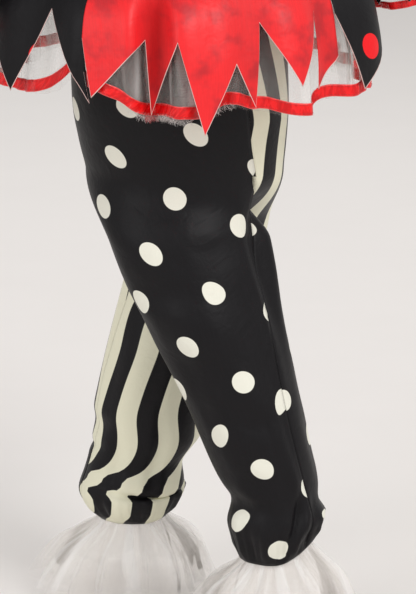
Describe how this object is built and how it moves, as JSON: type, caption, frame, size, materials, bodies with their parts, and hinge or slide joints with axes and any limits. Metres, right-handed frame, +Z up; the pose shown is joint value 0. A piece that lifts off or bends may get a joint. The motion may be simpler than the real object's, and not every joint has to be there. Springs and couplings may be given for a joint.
{
  "type": "clown costume",
  "caption": "Child's clown costume as worn: tunic dress with jagged skirt over net petticoats, and pull-on trousers with one dotted and one striped leg, gathered at the ankles.",
  "frame": {"origin": "centre of the body between the tops of the shoulders, where the costume hangs from the wearer", "axes": "+Z up along the body, -Y the way the wearer faces, +X to the wearer's left"},
  "size_m": [0.5824, 0.4096, 0.9444],
  "materials": {
    "red_satin": "satin polyester, red mottled with dark red",
    "black_satin": "satin polyester, black",
    "black_red_dots": "satin polyester, black with red dots",
    "black_cream_dots": "satin polyester, black with cream dots",
    "black_cream_stripes": "satin polyester, black and cream lengthwise stripes",
    "net": "sheer cream nylon net",
    "red_ribbon": "shiny satin ribbon"
  },
  "bodies": {
    "root": {"bodice_front": "red_satin", "bodice_back_left": "red_satin", "bodice_back_right": "red_satin", "neck_binding": "black_satin", "sleeve_left": "black_red_dots", "sleeve_right": "black_red_dots", "sleeve_net_left": "net", "sleeve_net_right": "net", "sleeve_ribbon_left": "red_ribbon", "sleeve_ribbon_right": "red_ribbon", "skirt_front": "red_satin", "skirt_side_left": "black_red_dots", "skirt_side_right": "black_red_dots", "skirt_back": "red_satin", "petticoat": "net", "petticoat_ribbon": "red_ribbon", "petticoat_under_front": "net", "petticoat_under_left": "net", "petticoat_under_back": "net", "petticoat_under_right": "net", "trouser_waistband": "black_satin", "trouser_front_dotted": "black_cream_dots", "trouser_back_dotted": "black_cream_dots", "trouser_front_striped": "black_cream_stripes", "trouser_back_striped": "black_cream_stripes", "ankle_ruffle_dotted": "net", "ankle_ruffle_striped": "net"}
  },
  "joints": []
}
